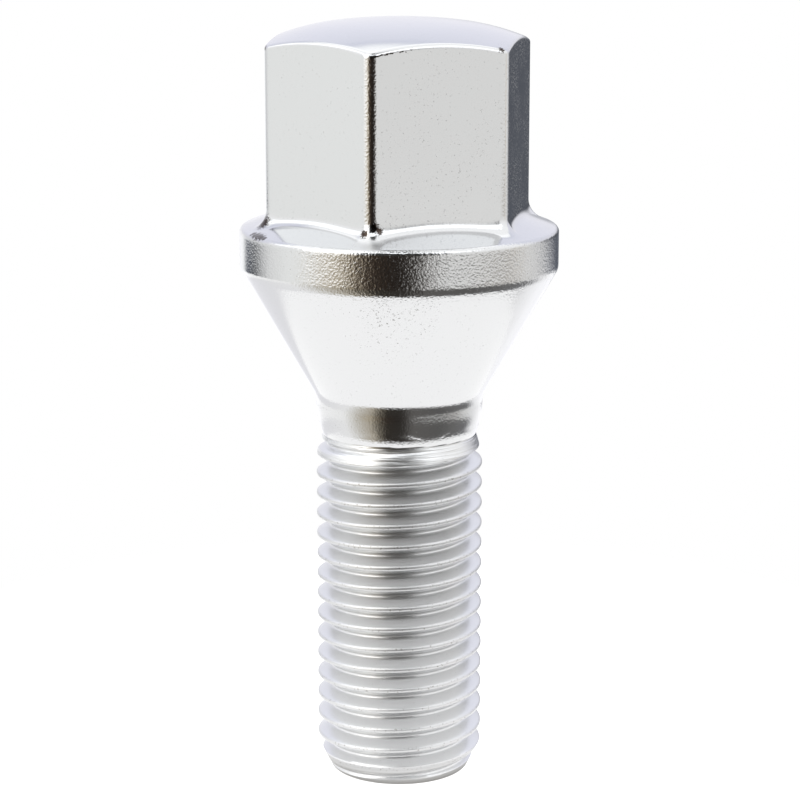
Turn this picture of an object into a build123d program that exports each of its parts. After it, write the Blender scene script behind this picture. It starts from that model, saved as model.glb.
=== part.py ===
# Wheel bolt with a domed hexagon head, a flange and a conical seat on a threaded shank.
# It is one forged and plated piece, standing on its tip with its axis on +Z.
from build123d import *
import math
import os

# Shank, as thick as the crests of its M12 thread, with a chamfered tip
thread_diameter = 11.88
shank_length = 27.85
tip_chamfer = 0.99
tip_angle = 53
tip_edge_break = 0.2

# Neck below the seat, where the thread runs out
neck_diameter = 12.0
neck_length = 2.9
runout_length = 1.95
runout_depth = 0.32

# Hexagon with rounded corners
across_flats = 17.0
corner_radius = 1.1
hexagon_height = 14.6

# Dome: a flat crown that rolls over a rounder shoulder
crown_radius = 38.0
crown_diameter = 9.6
shoulder_radius = 16.0
dome_edge_break = 0.25

# Flange and conical seat
flange_margin = 1.605
flange_slope = 20
flange_fillet = 0.8
rim_height = 2.84
rim_edge_break = 0.25
rim_seat_radius = 1.3
seat_angle = 60

# Radii that follow from the sizes
thread_radius = thread_diameter / 2
tip_radius = thread_radius - tip_chamfer
runout_radius = thread_radius - runout_depth
neck_radius = neck_diameter / 2
corner_reach = (across_flats / 2 - corner_radius) / math.cos(math.radians(30)) + corner_radius
flange_radius = corner_reach + flange_margin

# Heights along the axis, from the tip up
tip_top = tip_chamfer / math.tan(math.radians(tip_angle / 2))
runout_top = shank_length - neck_length
runout_bottom = runout_top - runout_length
rim_bottom = shank_length + (flange_radius - neck_radius) / math.tan(math.radians(seat_angle / 2))
rim_top = rim_bottom + rim_height
flange_apex = rim_top + flange_radius * math.tan(math.radians(flange_slope))
dome_top = rim_top + hexagon_height
crown_angle = math.degrees(math.asin(crown_diameter / 2 / crown_radius))

with BuildPart() as wheel_bolt:
    # Hexagon bar with a corner on the -Y side
    with BuildSketch(Plane.XY.offset(rim_bottom)) as hexagon:
        RegularPolygon(across_flats / 2, 6, major_radius=False, rotation=30)
        fillet(hexagon.vertices(), corner_radius)
    extrude(amount=dome_top - rim_bottom)

    # Dome turned on the bar, with its edge to the flats broken
    with BuildSketch(Plane.YZ):
        with BuildLine():
            crown = JernArc((0, dome_top), (1, 0), crown_radius, -crown_angle)
            shoulder = JernArc(crown @ 1, crown % 1, shoulder_radius, crown_angle - 90)
            Polyline(shoulder @ 1, ((shoulder @ 1).X, 0), (0, 0), (0, dome_top))
        make_face()
    revolve(axis=Axis.Z, mode=Mode.INTERSECT)
    dome_edges = wheel_bolt.faces().sort_by(Axis.Z)[-2:].edges()
    chamfer(dome_edges.filter_by(GeomType.CIRCLE, reverse=True), dome_edge_break)

    # Flange, seat, neck and shank in one turned profile
    with BuildSketch(Plane.YZ) as turned:
        with BuildLine():
            Polyline(
                (0, 0),
                (tip_radius, 0),
                (thread_radius, tip_top),
                (thread_radius, runout_bottom),
                (runout_radius, runout_top),
                (neck_radius, shank_length),
                (flange_radius, rim_bottom),
                (flange_radius, rim_top),
                (0, flange_apex),
                close=True,
            )
        make_face()
        tip_corner = turned.vertices().group_by(Axis.Y)[0].sort_by(Axis.X)[-1]
        rim_corners = turned.vertices().group_by(Axis.X)[-1].sort_by(Axis.Y)
        chamfer([tip_corner], tip_edge_break)
        chamfer([rim_corners[-1]], rim_edge_break)
        fillet([rim_corners[0]], rim_seat_radius)
    revolve(axis=Axis.Z)

    # Hollow fillet where the hexagon's flats and corners run into the sloped flange
    flange_top = wheel_bolt.faces().filter_by(GeomType.CONE).sort_by(Axis.Z)[-1]
    foot_edges = flange_top.edges().filter_by(GeomType.CIRCLE, reverse=True)
    fillet(foot_edges.filter_by(GeomType.LINE, reverse=True), flange_fillet)

wheel_bolt.part.label = "wheel_bolt"
os.makedirs("parts", exist_ok=True)
export_step(wheel_bolt.part, "parts/wheel_bolt.step")
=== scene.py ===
"""Looks of the wheel bolt: one bright plated piece with its rolled thread, on a white table in a studio."""

import logging
import math
from collections.abc import Callable
from dataclasses import dataclass, field
from enum import Enum

import bmesh
import bpy
import numpy as np
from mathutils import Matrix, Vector


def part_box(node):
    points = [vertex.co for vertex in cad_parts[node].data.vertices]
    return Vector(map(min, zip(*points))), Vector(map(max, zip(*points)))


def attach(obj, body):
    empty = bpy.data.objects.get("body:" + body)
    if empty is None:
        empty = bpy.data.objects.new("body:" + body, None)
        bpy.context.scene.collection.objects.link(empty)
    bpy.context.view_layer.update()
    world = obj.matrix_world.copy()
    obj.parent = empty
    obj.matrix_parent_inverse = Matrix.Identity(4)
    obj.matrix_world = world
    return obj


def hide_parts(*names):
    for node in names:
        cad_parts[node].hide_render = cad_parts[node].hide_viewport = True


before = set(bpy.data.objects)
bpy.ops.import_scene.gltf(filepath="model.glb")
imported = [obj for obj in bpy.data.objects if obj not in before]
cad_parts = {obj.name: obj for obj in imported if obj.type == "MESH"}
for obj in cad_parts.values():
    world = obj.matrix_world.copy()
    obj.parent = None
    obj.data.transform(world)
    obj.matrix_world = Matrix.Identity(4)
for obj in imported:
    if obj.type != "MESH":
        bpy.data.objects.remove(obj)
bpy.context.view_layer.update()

MM = 0.001
NODE = "wheel_bolt"
BODY = "root"
LOG = logging.getLogger("wheel_bolt")
HEXAGON_SIDES = 6
FRONT_CORNER = -90.0

# A colour is linear red, green, blue and alpha, and a range is where a soft step starts and ends
Colour = tuple[float, float, float, float]
Range = tuple[float, float]
WHITE: Colour = (1.0, 1.0, 1.0, 1.0)


class Trait(Enum):
    """Surface traits that the mesh carries as point attributes, each from 0 to 1."""

    SATIN = "satin"
    PEBBLE = "pebble"
    CREST = "crest"
    BRUSHED = "brushed"
    DUST = "dust"
    WORN = "worn"


class Roll(Enum):
    """Ways in which a surface rolls into the hexagon's wall, with the side that the arc lies on."""

    HOLLOW = 1.0
    ROUND = -1.0


def smooth_step(low: float, high: float, value: np.ndarray) -> np.ndarray:
    """Rises softly from 0 at low to 1 at high, and falls if low is above high.

    Args:
        low: Value where the step starts.
        high: Value where the step ends.
        value: Where the step is read.

    Returns:
        The step's share at each value.
    """
    share = np.clip((value - low) / (high - low), 0.0, 1.0)
    return share * share * (3.0 - 2.0 * share)


def soft_min(first: np.ndarray, second: np.ndarray, blend: float) -> np.ndarray:
    """Takes the smaller of two profiles, with the corner between them rounded.

    Args:
        first: One profile.
        second: The other profile.
        blend: Difference within which they merge.

    Returns:
        The merged profile.
    """
    share = np.clip(0.5 + 0.5 * (second - first) / blend, 0.0, 1.0)
    return second * (1.0 - share) + first * share - blend * share * (1.0 - share)


def rounded_corner(before: Vector, corner: Vector, after: Vector, radius: float, steps: int) -> list[Vector]:
    """Rounds a corner of a turned profile.

    Args:
        before: Profile point ahead of the corner, as radius and height.
        corner: The sharp corner.
        after: Profile point behind the corner.
        radius: Radius of the rounding.
        steps: Steps along the arc.

    Returns:
        The arc's points, from its tangent point on the first side to that on the second.
    """
    first = (before - corner).normalized()
    second = (after - corner).normalized()
    half = first.angle(second) / 2.0
    start = corner + first * (radius / math.tan(half))
    centre = corner + (first + second).normalized() * (radius / math.sin(half))
    spoke = start - centre
    sweep = math.pi - 2.0 * half
    side = 1.0 if first.x * second.y - first.y * second.x < 0.0 else -1.0
    arc = []
    for step in range(steps + 1):
        turn = side * sweep * step / steps
        along = spoke.x * math.cos(turn) - spoke.y * math.sin(turn)
        across = spoke.x * math.sin(turn) + spoke.y * math.cos(turn)
        arc.append(centre + Vector((along, across)))
    return arc


def edit_only(piece: bpy.types.Object) -> None:
    """Selects one piece alone and opens it in edit mode.

    Args:
        piece: The piece.
    """
    bpy.ops.object.select_all(action="DESELECT")
    piece.select_set(True)
    bpy.context.view_layer.objects.active = piece
    bpy.ops.object.mode_set(mode="EDIT")


def mesh_points(piece: bpy.types.Object) -> np.ndarray:
    """Reads the points of a piece's mesh.

    Args:
        piece: The piece.

    Returns:
        The points in metres, one row each.
    """
    spots = np.empty(len(piece.data.vertices) * 3)
    piece.data.vertices.foreach_get("co", spots)
    return spots.reshape(-1, 3)


@dataclass(frozen=True)
class Band:
    """Range of heights or headings over which something rises, holds and falls again.

    Attributes:
        start: Where it starts to rise.
        full: Where it has risen.
        wane: Where it starts to fall.
        end: Where it has gone.
    """

    start: float
    full: float
    wane: float
    end: float

    def share(self, value: np.ndarray) -> np.ndarray:
        """Share of the band at each value, from 0 to 1."""
        return smooth_step(self.start, self.full, value) * smooth_step(self.end, self.wane, value)


@dataclass(frozen=True)
class HexagonOutline:
    """Rounded hexagon of the head, whose stations are the columns of the head's mesh.

    Attributes:
        across_flats: Distance between opposite flats, in mm.
        corner_radius: Radius of the rounded corners, in mm.
        corner_steps: Mesh steps round one corner.
        flat_steps: Mesh steps along one flat, closer together at its ends.
    """

    across_flats: float = 17.0
    corner_radius: float = 1.0
    corner_steps: int = 12
    flat_steps: int = 16

    @property
    def centre_reach(self) -> float:
        """Distance of the corners' centres from the axis, in mm."""
        return (self.across_flats / 2.0 - self.corner_radius) / math.cos(math.pi / HEXAGON_SIDES)

    @property
    def corner_reach(self) -> float:
        """Distance of the corners' tips from the axis, in mm."""
        return self.centre_reach + self.corner_radius

    def stations(self) -> tuple[np.ndarray, np.ndarray]:
        """Walks once round the outline, from the corner on the -Y side.

        Returns:
            The stations' points and the outline's outward normals there, one row each.
        """
        sector = 2.0 * math.pi / HEXAGON_SIDES
        points, normals = [], []
        for side in range(HEXAGON_SIDES):
            heading = math.radians(FRONT_CORNER) + sector * side
            centre = self.centre_reach * np.array([math.cos(heading), math.sin(heading)])
            ahead = heading + sector
            next_centre = self.centre_reach * np.array([math.cos(ahead), math.sin(ahead)])
            for step in range(self.corner_steps):
                turn = heading + sector * (step / self.corner_steps - 0.5)
                normals.append(np.array([math.cos(turn), math.sin(turn)]))
                points.append(centre + self.corner_radius * normals[-1])
            turn = heading + sector / 2.0
            normal = np.array([math.cos(turn), math.sin(turn)])
            for step in range(self.flat_steps):
                share = 0.5 - 0.5 * math.cos(math.pi * step / self.flat_steps)
                normals.append(normal)
                points.append(centre + share * (next_centre - centre) + self.corner_radius * normal)
        return np.array(points), np.array(normals)


@dataclass(frozen=True)
class WallArc:
    """Arc that leads a sloped surface into the hexagon's wall, column by column. Sizes in mm.

    Attributes:
        wall: The wall's points.
        normal: The wall's outward normals.
        surface: Height where the surface would meet the wall.
        fall: Fall of the surface per mm outwards.
        radius: Radius of the arc.
        roll: Whether the arc is a hollow fillet or a rounded edge.
    """

    wall: np.ndarray
    normal: np.ndarray
    surface: np.ndarray
    fall: np.ndarray
    radius: np.ndarray
    roll: Roll

    def ring(self, share: float) -> np.ndarray:
        """Lays one ring along the arc.

        Args:
            share: Place along the arc, from 0 at the surface to 1 at the wall.

        Returns:
            The ring's points, one row for each column.
        """
        rolled = self.roll.value * self.radius
        level = self.surface + rolled * (np.sqrt(1.0 + self.fall**2) - self.fall)
        turn = np.arctan(self.fall) * (1.0 - share) + math.pi / 2.0 * share
        out = rolled * (1.0 - np.sin(turn))
        return np.column_stack((self.wall + self.normal * out[:, None], level - rolled * np.cos(turn)))


@dataclass
class BoltHead:
    """Neck, conical seat, flange and domed hexagon, grown ring by ring from the neck up. Sizes in mm.

    Attributes:
        top: Height of the dome's crown above the tip.
        flange_radius: Radius of the flange's rim.
        neck_start: Height of the first ring.
        neck_end: Distance below the seat where the neck's own rings end.
        neck_radius: Radius of the neck at the seat.
        neck_length: Length of the neck below the seat.
        neck_roll: How much the neck rolls in towards the thread, at 1 mm below the seat.
        neck_power: How fast that roll grows downwards.
        shank_length: Height of the seat's lower edge.
        seat_radius: Radius of the seat's lower edge.
        seat_angle: Angle of the seat to the axis, in degrees.
        seat_corner_radius: Rounding between the neck and the seat.
        rim_height: Height of the flange's rim.
        rim_seat_radius: Rounding between the seat and the rim.
        rim_edge_radius: Rounding between the rim and the flange.
        flange_slope: Slope of the flange, in degrees.
        foot_radius: Fillet between the flange and the flats.
        foot_swell: How much larger that fillet is at the corners.
        foot_power: How close to the corners the swell stays.
        crown_radius: Radius of the dome's flat crown.
        crown_reach: Distance from the axis where the crown ends.
        shoulder_radius: Radius of the dome's shoulder.
        dome_edge_radius: Rounding between the dome and the flats.
        neck_rings: Rings of the neck.
        corner_steps: Mesh steps round either end of the seat.
        rim_edge_steps: Mesh steps round the rim's upper edge.
        foot_steps: Mesh steps up the foot's fillet.
        dome_edge_steps: Mesh steps round the dome's edge.
        seat_shares: Places of the rings up the seat.
        rim_shares: Places of the rings up the rim.
        flange_shares: Places of the rings from the rim to the foot.
        wall_shares: Places of the rings up the hexagon.
        dome_shares: Places of the rings from the dome's edge to the axis.
        outline: Hexagon's outline.
    """

    top: float
    flange_radius: float
    neck_start: float = 25.9
    neck_end: float = 0.7
    neck_radius: float = 5.955
    neck_length: float = 2.9
    neck_roll: float = 0.03
    neck_power: float = 2.6
    shank_length: float = 27.85
    seat_radius: float = 6.0
    seat_angle: float = 30.0
    seat_corner_radius: float = 2.2
    rim_height: float = 2.84
    rim_seat_radius: float = 1.3
    rim_edge_radius: float = 0.38
    flange_slope: float = 20.0
    foot_radius: float = 0.8
    foot_swell: float = 0.7
    foot_power: int = 4
    crown_radius: float = 38.0
    crown_reach: float = 4.8
    shoulder_radius: float = 16.0
    dome_edge_radius: float = 0.36
    neck_rings: int = 6
    corner_steps: int = 8
    rim_edge_steps: int = 7
    foot_steps: int = 8
    dome_edge_steps: int = 6
    seat_shares: tuple[float, ...] = (0.03, 0.12, 0.3, 0.5, 0.7, 0.88, 0.97)
    rim_shares: tuple[float, ...] = (0.06, 0.35, 0.65, 0.94)
    flange_shares: tuple[float, ...] = (0.04, 0.2, 0.45, 0.7, 0.93)
    wall_shares: tuple[float, ...] = (0.012, 0.06, 0.2, 0.4, 0.6, 0.8, 0.94, 0.988)
    dome_shares: tuple[float, ...] = (0.985, 0.95, 0.9, 0.84, 0.77, 0.69, 0.6, 0.5, 0.4, 0.3, 0.2, 0.12, 0.05)
    outline: HexagonOutline = field(default_factory=HexagonOutline)

    def neck_at(self, height: np.ndarray) -> np.ndarray:
        """Radius of the neck at a height, which rolls in towards the thread."""
        below = np.maximum(self.shank_length - height, 0.0)
        return self.neck_radius - self.neck_roll * below**self.neck_power

    def dome_at(self, radius: np.ndarray) -> np.ndarray:
        """Finds the dome: a flat crown that rolls over a rounder shoulder.

        Args:
            radius: Distances from the axis.

        Returns:
            The dome's height at each distance.
        """
        turn = math.asin(self.crown_reach / self.crown_radius)
        inner = np.minimum(radius, self.crown_reach)
        crown = self.crown_radius - np.sqrt(self.crown_radius**2 - inner**2)
        hub = self.crown_reach - self.shoulder_radius * math.sin(turn)
        low = np.sqrt(self.shoulder_radius**2 - (np.maximum(radius, self.crown_reach) - hub) ** 2)
        return self.top - crown - (self.shoulder_radius * math.cos(turn) - low)

    def dome_fall(self, radius: np.ndarray) -> np.ndarray:
        """Fall of the dome per mm outwards at a radius."""
        step = 0.01
        return (self.dome_at(radius - step) - self.dome_at(radius + step)) / (2.0 * step)

    def flange_at(self, radius: np.ndarray) -> np.ndarray:
        """Height of the sloped flange at a radius."""
        return self.rim_top + (self.flange_radius - radius) * math.tan(math.radians(self.flange_slope))

    @property
    def rim_bottom(self) -> float:
        """Height where the seat's cone would meet the rim."""
        flare = math.tan(math.radians(self.seat_angle))
        return self.shank_length + (self.flange_radius - self.seat_radius) / flare

    @property
    def rim_top(self) -> float:
        """Height where the rim would meet the sloped flange."""
        return self.rim_bottom + self.rim_height

    def turned_profile(self) -> list[Vector]:
        """Traces the turned part from the neck to the flange.

        Returns:
            Profile points as radius and height, from the first ring to the flange's edge.
        """
        heights = np.linspace(self.neck_start, self.shank_length - self.neck_end, self.neck_rings)
        neck = [Vector((float(self.neck_at(height)), float(height))) for height in heights]
        seat_low = Vector((self.neck_radius, self.shank_length))
        seat_high = Vector((self.flange_radius, self.rim_bottom))
        rim_high = Vector((self.flange_radius, self.rim_top))
        flange = Vector((self.seat_radius, float(self.flange_at(self.seat_radius))))
        corner = rounded_corner(neck[-1], seat_low, seat_high, self.seat_corner_radius, self.corner_steps)
        lower = rounded_corner(seat_low, seat_high, rim_high, self.rim_seat_radius, self.corner_steps)
        upper = rounded_corner(seat_high, rim_high, flange, self.rim_edge_radius, self.rim_edge_steps)
        seat = [corner[-1].lerp(lower[0], share) for share in self.seat_shares]
        rim = [lower[-1].lerp(upper[0], share) for share in self.rim_shares]
        return neck[:-1] + corner + seat + lower + rim + upper

    @staticmethod
    def _on(height_at: Callable[[np.ndarray], np.ndarray], spots: np.ndarray) -> np.ndarray:
        """Ring of points on a turned surface, over spots in plan."""
        return np.column_stack((spots, height_at(np.linalg.norm(spots, axis=1))))

    def rings(self) -> list[np.ndarray]:
        """Lays out the head's rings from the neck to the crown.

        Returns:
            One array of points in mm for each ring, with a row for each column of the mesh.
        """
        wall, normal = self.outline.stations()
        reach = np.linalg.norm(wall, axis=1)
        facing = np.sum(wall * normal, axis=1) / reach
        corner = (reach - reach.min()) / (reach.max() - reach.min())
        hollow = self.foot_radius + self.foot_swell * corner**self.foot_power
        slope = math.tan(math.radians(self.flange_slope)) * facing
        foot = WallArc(wall, normal, self.flange_at(reach), slope, hollow, Roll.HOLLOW)
        fall = self.dome_fall(reach) * facing
        edge = np.full_like(reach, self.dome_edge_radius)
        brow = WallArc(wall, normal, self.dome_at(reach), fall, edge, Roll.ROUND)

        foot_line = foot.ring(0.0)
        heading = np.arctan2(foot_line[:, 1], foot_line[:, 0])
        around = np.column_stack((np.cos(heading), np.sin(heading)))
        rings = [
            np.column_stack((around * point.x, np.full(len(around), point.y)))
            for point in self.turned_profile()
        ]
        ledge = rings[-1]
        for share in self.flange_shares:
            spots = ledge[:, :2] * (1.0 - share) + foot_line[:, :2] * share
            rings.append(self._on(self.flange_at, spots))
        rings += [foot.ring(step / self.foot_steps) for step in range(self.foot_steps + 1)]
        wall_low, wall_high = foot.ring(1.0), brow.ring(1.0)
        rings += [wall_low * (1.0 - share) + wall_high * share for share in self.wall_shares]
        rings += [brow.ring(1.0 - step / self.dome_edge_steps) for step in range(self.dome_edge_steps + 1)]
        brim = brow.ring(0.0)[:, :2]
        rings += [self._on(self.dome_at, brim * share) for share in self.dome_shares]
        return rings

    def build(self) -> bpy.types.Object:
        """Grows the head from a circle, one extruded ring at a time, and closes its crown.

        Returns:
            The head, open at the neck.
        """
        rings = self.rings()
        bpy.ops.object.select_all(action="DESELECT")
        bpy.ops.mesh.primitive_circle_add(vertices=len(rings[0]), radius=self.neck_radius * MM)
        head = bpy.context.object
        head.name = "bolt_head"
        edit_only(head)
        mesh = bmesh.from_edit_mesh(head.data)
        column = mesh.verts.layers.int.new("column")
        mesh.verts.ensure_lookup_table()
        for vert in mesh.verts:
            vert[column] = vert.index
            vert.co = Vector(rings[0][vert.index]) * MM
        bpy.ops.mesh.select_all(action="SELECT")
        for ring in rings[1:]:
            self._grow(head, ring)
        bpy.ops.mesh.extrude_edges_move()
        bpy.ops.mesh.merge(type="CENTER")
        mesh = bmesh.from_edit_mesh(head.data)
        for vert in mesh.verts:
            if vert.select:
                vert.co = Vector((0.0, 0.0, self.top * MM))
        bmesh.update_edit_mesh(head.data)
        bpy.ops.object.mode_set(mode="OBJECT")
        return head

    @staticmethod
    def _grow(head: bpy.types.Object, ring: np.ndarray) -> None:
        """Extrudes the open loop and sets the new one on a ring.

        Args:
            head: The head, in edit mode with its open loop selected.
            ring: Points of the new loop, in mm.
        """
        bpy.ops.mesh.extrude_edges_move()
        mesh = bmesh.from_edit_mesh(head.data)
        column = mesh.verts.layers.int["column"]
        for vert in mesh.verts:
            if vert.select:
                vert.co = Vector(ring[vert[column]]) * MM
        bmesh.update_edit_mesh(head.data)


@dataclass
class ThreadedShank:
    """Shank with its rolled right-hand thread, wound from a sheet whose rows follow the helix. Sizes in mm.

    Attributes:
        head: Head above, whose neck the shank runs into.
        pitch: Rise of the thread in one turn.
        crest_over_x: Height of a crest on the +X side.
        crest_radius: Radius of the flattened crests.
        crest_flat: Width of the crests' flat.
        crest_rounding: Radius of the crests' edges.
        root_rounding: Radius of the round roots.
        flank_angle: Angle of a flank to the plane across the axis, in degrees.
        runout_rounding: Blend of the thread into the bar that it is rolled on.
        crest_end: Height where the crests start to sink into the neck.
        groove_end: Height where the groove has run out.
        groove_fade: Height over which the groove runs out.
        tip_radius: Radius of the tip's end face, before its edge is rounded.
        tip_angle: Angle of the tip's chamfer to the axis, in degrees.
        tip_edge_radius: Rounding of the end face's edge.
        tip_rounding: Blend of the thread into the chamfer.
        top: Height where the shank meets the head's first ring.
        turns: Turns of the sheet, enough to reach past both ends.
        turn_steps: Mesh steps round one turn.
        pitch_steps: Mesh steps along one pitch.
        crowding: How much closer the steps lie at crests and roots.
        weld: Distance within which the wound sheet's sides are joined.
        snap: Distance within which a trim takes a point as on its plane.
    """

    head: BoltHead
    pitch: float = 1.5
    crest_over_x: float = 0.235
    crest_radius: float = 5.94
    crest_flat: float = 0.08
    crest_rounding: float = 0.13
    root_rounding: float = 0.16
    flank_angle: float = 30.0
    runout_rounding: float = 0.12
    crest_end: float = 23.0
    groove_end: float = 25.25
    groove_fade: float = 1.15
    tip_radius: float = 4.95
    tip_angle: float = 26.5
    tip_edge_radius: float = 0.35
    tip_rounding: float = 0.05
    top: float = 25.6
    turns: int = 19
    turn_steps: int = 144
    pitch_steps: int = 24
    crowding: float = 0.55
    weld: float = 0.0015
    snap: float = 0.00015

    @property
    def root_radius(self) -> float:
        """Finds the roots, where both flanks run into the root's arc.

        Returns:
            Distance of the roots from the axis.
        """
        lean = math.radians(self.flank_angle)
        fall = self.pitch / 2.0 - self.crest_flat / 2.0 - self.crest_rounding * math.cos(lean)
        apex = self.crest_radius - self.crest_rounding * (1.0 - math.sin(lean)) - fall / math.tan(lean)
        return apex + self.root_rounding * (1.0 / math.sin(lean) - 1.0)

    @property
    def first_root(self) -> float:
        """Height of the sheet's lowest row on the +X side, on a root one and a half pitches below a crest."""
        return self.crest_over_x - 1.5 * self.pitch

    def bar_at(self, height: np.ndarray) -> np.ndarray:
        """Finds the bar before its thread is rolled, whose crests sink into the neck.

        Args:
            height: Heights above the tip.

        Returns:
            The bar's radius at each height.
        """
        edge = self.head.shank_length - self.head.neck_length
        share = np.clip((height - self.crest_end) / (edge - self.crest_end), 0.0, 1.0)
        free = self.crest_radius + self.runout_rounding
        sinking = free + share * (self.head.neck_at(edge) - free)
        return np.where(height > edge, self.head.neck_at(height), sinking)

    def tip_at(self, height: np.ndarray) -> np.ndarray:
        """Finds the chamfered tip with its rounded edge.

        Args:
            height: Heights above the tip.

        Returns:
            The tip's radius at each height.
        """
        lean = math.radians(self.tip_angle)
        edge = self.tip_edge_radius
        cone = self.tip_radius + height * math.tan(lean)
        hub = self.tip_radius + edge * math.tan(lean) - edge / math.cos(lean)
        inside = np.clip(edge**2 - (edge - np.maximum(height, 0.0)) ** 2, 0.0, None)
        return np.where(height < edge * (1.0 - math.sin(lean)), hub + np.sqrt(inside), cone)

    def off_crest(self, heading: np.ndarray, height: np.ndarray) -> np.ndarray:
        """Signed distance along the axis to the nearest crest, with headings in radians."""
        turn = (height - self.crest_over_x) / self.pitch - heading / (2.0 * math.pi)
        return (turn - np.round(turn)) * self.pitch

    def radius_at(self, heading: np.ndarray, height: np.ndarray) -> np.ndarray:
        """Finds the threaded shank.

        Args:
            heading: Angles from +X round the axis, in radians.
            height: Heights above the tip.

        Returns:
            The shank's radius at each place.
        """
        away = self.off_crest(heading, height)
        lean = math.radians(self.flank_angle)
        over = np.maximum(np.abs(away) - self.crest_flat / 2.0, 0.0)
        reach = self.crest_rounding * math.cos(lean)
        arc = self.crest_rounding - np.sqrt(self.crest_rounding**2 - np.minimum(over, reach) ** 2)
        flank = self.crest_radius - arc - np.maximum(over - reach, 0.0) / math.tan(lean)
        beside = np.minimum(self.pitch / 2.0 - np.abs(away), self.root_rounding)
        root = self.root_radius + self.root_rounding - np.sqrt(self.root_rounding**2 - beside**2)
        groove = np.where(beside < self.root_rounding * math.cos(lean), root, flank)
        root_height = height - away + np.where(away > 0.0, 0.5, -0.5) * self.pitch
        depth = np.clip((self.groove_end - root_height) / self.groove_fade, 0.0, 1.0)
        groove = groove + (1.0 - depth) * (self.crest_radius - self.root_radius + self.runout_rounding)
        rolled = soft_min(groove, self.bar_at(height), self.runout_rounding)
        return soft_min(rolled, self.tip_at(height), self.tip_rounding)

    def build(self) -> bpy.types.Object:
        """Winds the sheet into the threaded shank and trims both of its ends.

        Returns:
            The shank, closed at the tip and open at the neck.
        """
        rows = self.turns * self.pitch_steps
        bpy.ops.object.select_all(action="DESELECT")
        bpy.ops.mesh.primitive_grid_add(x_subdivisions=self.turn_steps, y_subdivisions=rows, size=1.0)
        shank = bpy.context.object
        shank.name = "threaded_shank"
        sheet = mesh_points(shank) + 0.5
        turn = np.round(sheet[:, 0] * self.turn_steps) / self.turn_steps
        row = np.round(sheet[:, 1] * rows) / self.pitch_steps
        whole = np.floor(row)
        rest = row - whole
        rest = rest - self.crowding * np.sin(4.0 * math.pi * rest) / (4.0 * math.pi)
        heading = 2.0 * math.pi * turn
        height = self.first_root + self.pitch * (whole + rest + turn)
        radius = self.radius_at(heading, height)
        wound = np.column_stack((radius * np.cos(heading), radius * np.sin(heading), height)) * MM
        shank.data.vertices.foreach_set("co", wound.ravel())
        shank.data.update()
        edit_only(shank)
        bpy.ops.mesh.select_all(action="SELECT")
        bpy.ops.mesh.remove_doubles(threshold=self.weld * MM)
        level = {"plane_no": (0.0, 0.0, 1.0), "threshold": self.snap * MM}
        bpy.ops.mesh.select_all(action="SELECT")
        bpy.ops.mesh.bisect(plane_co=(0.0, 0.0, 0.0), use_fill=True, clear_inner=True, **level)
        bpy.ops.mesh.select_all(action="SELECT")
        bpy.ops.mesh.bisect(plane_co=(0.0, 0.0, self.top * MM), clear_outer=True, **level)
        bpy.ops.object.mode_set(mode="OBJECT")
        return shank


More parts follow.
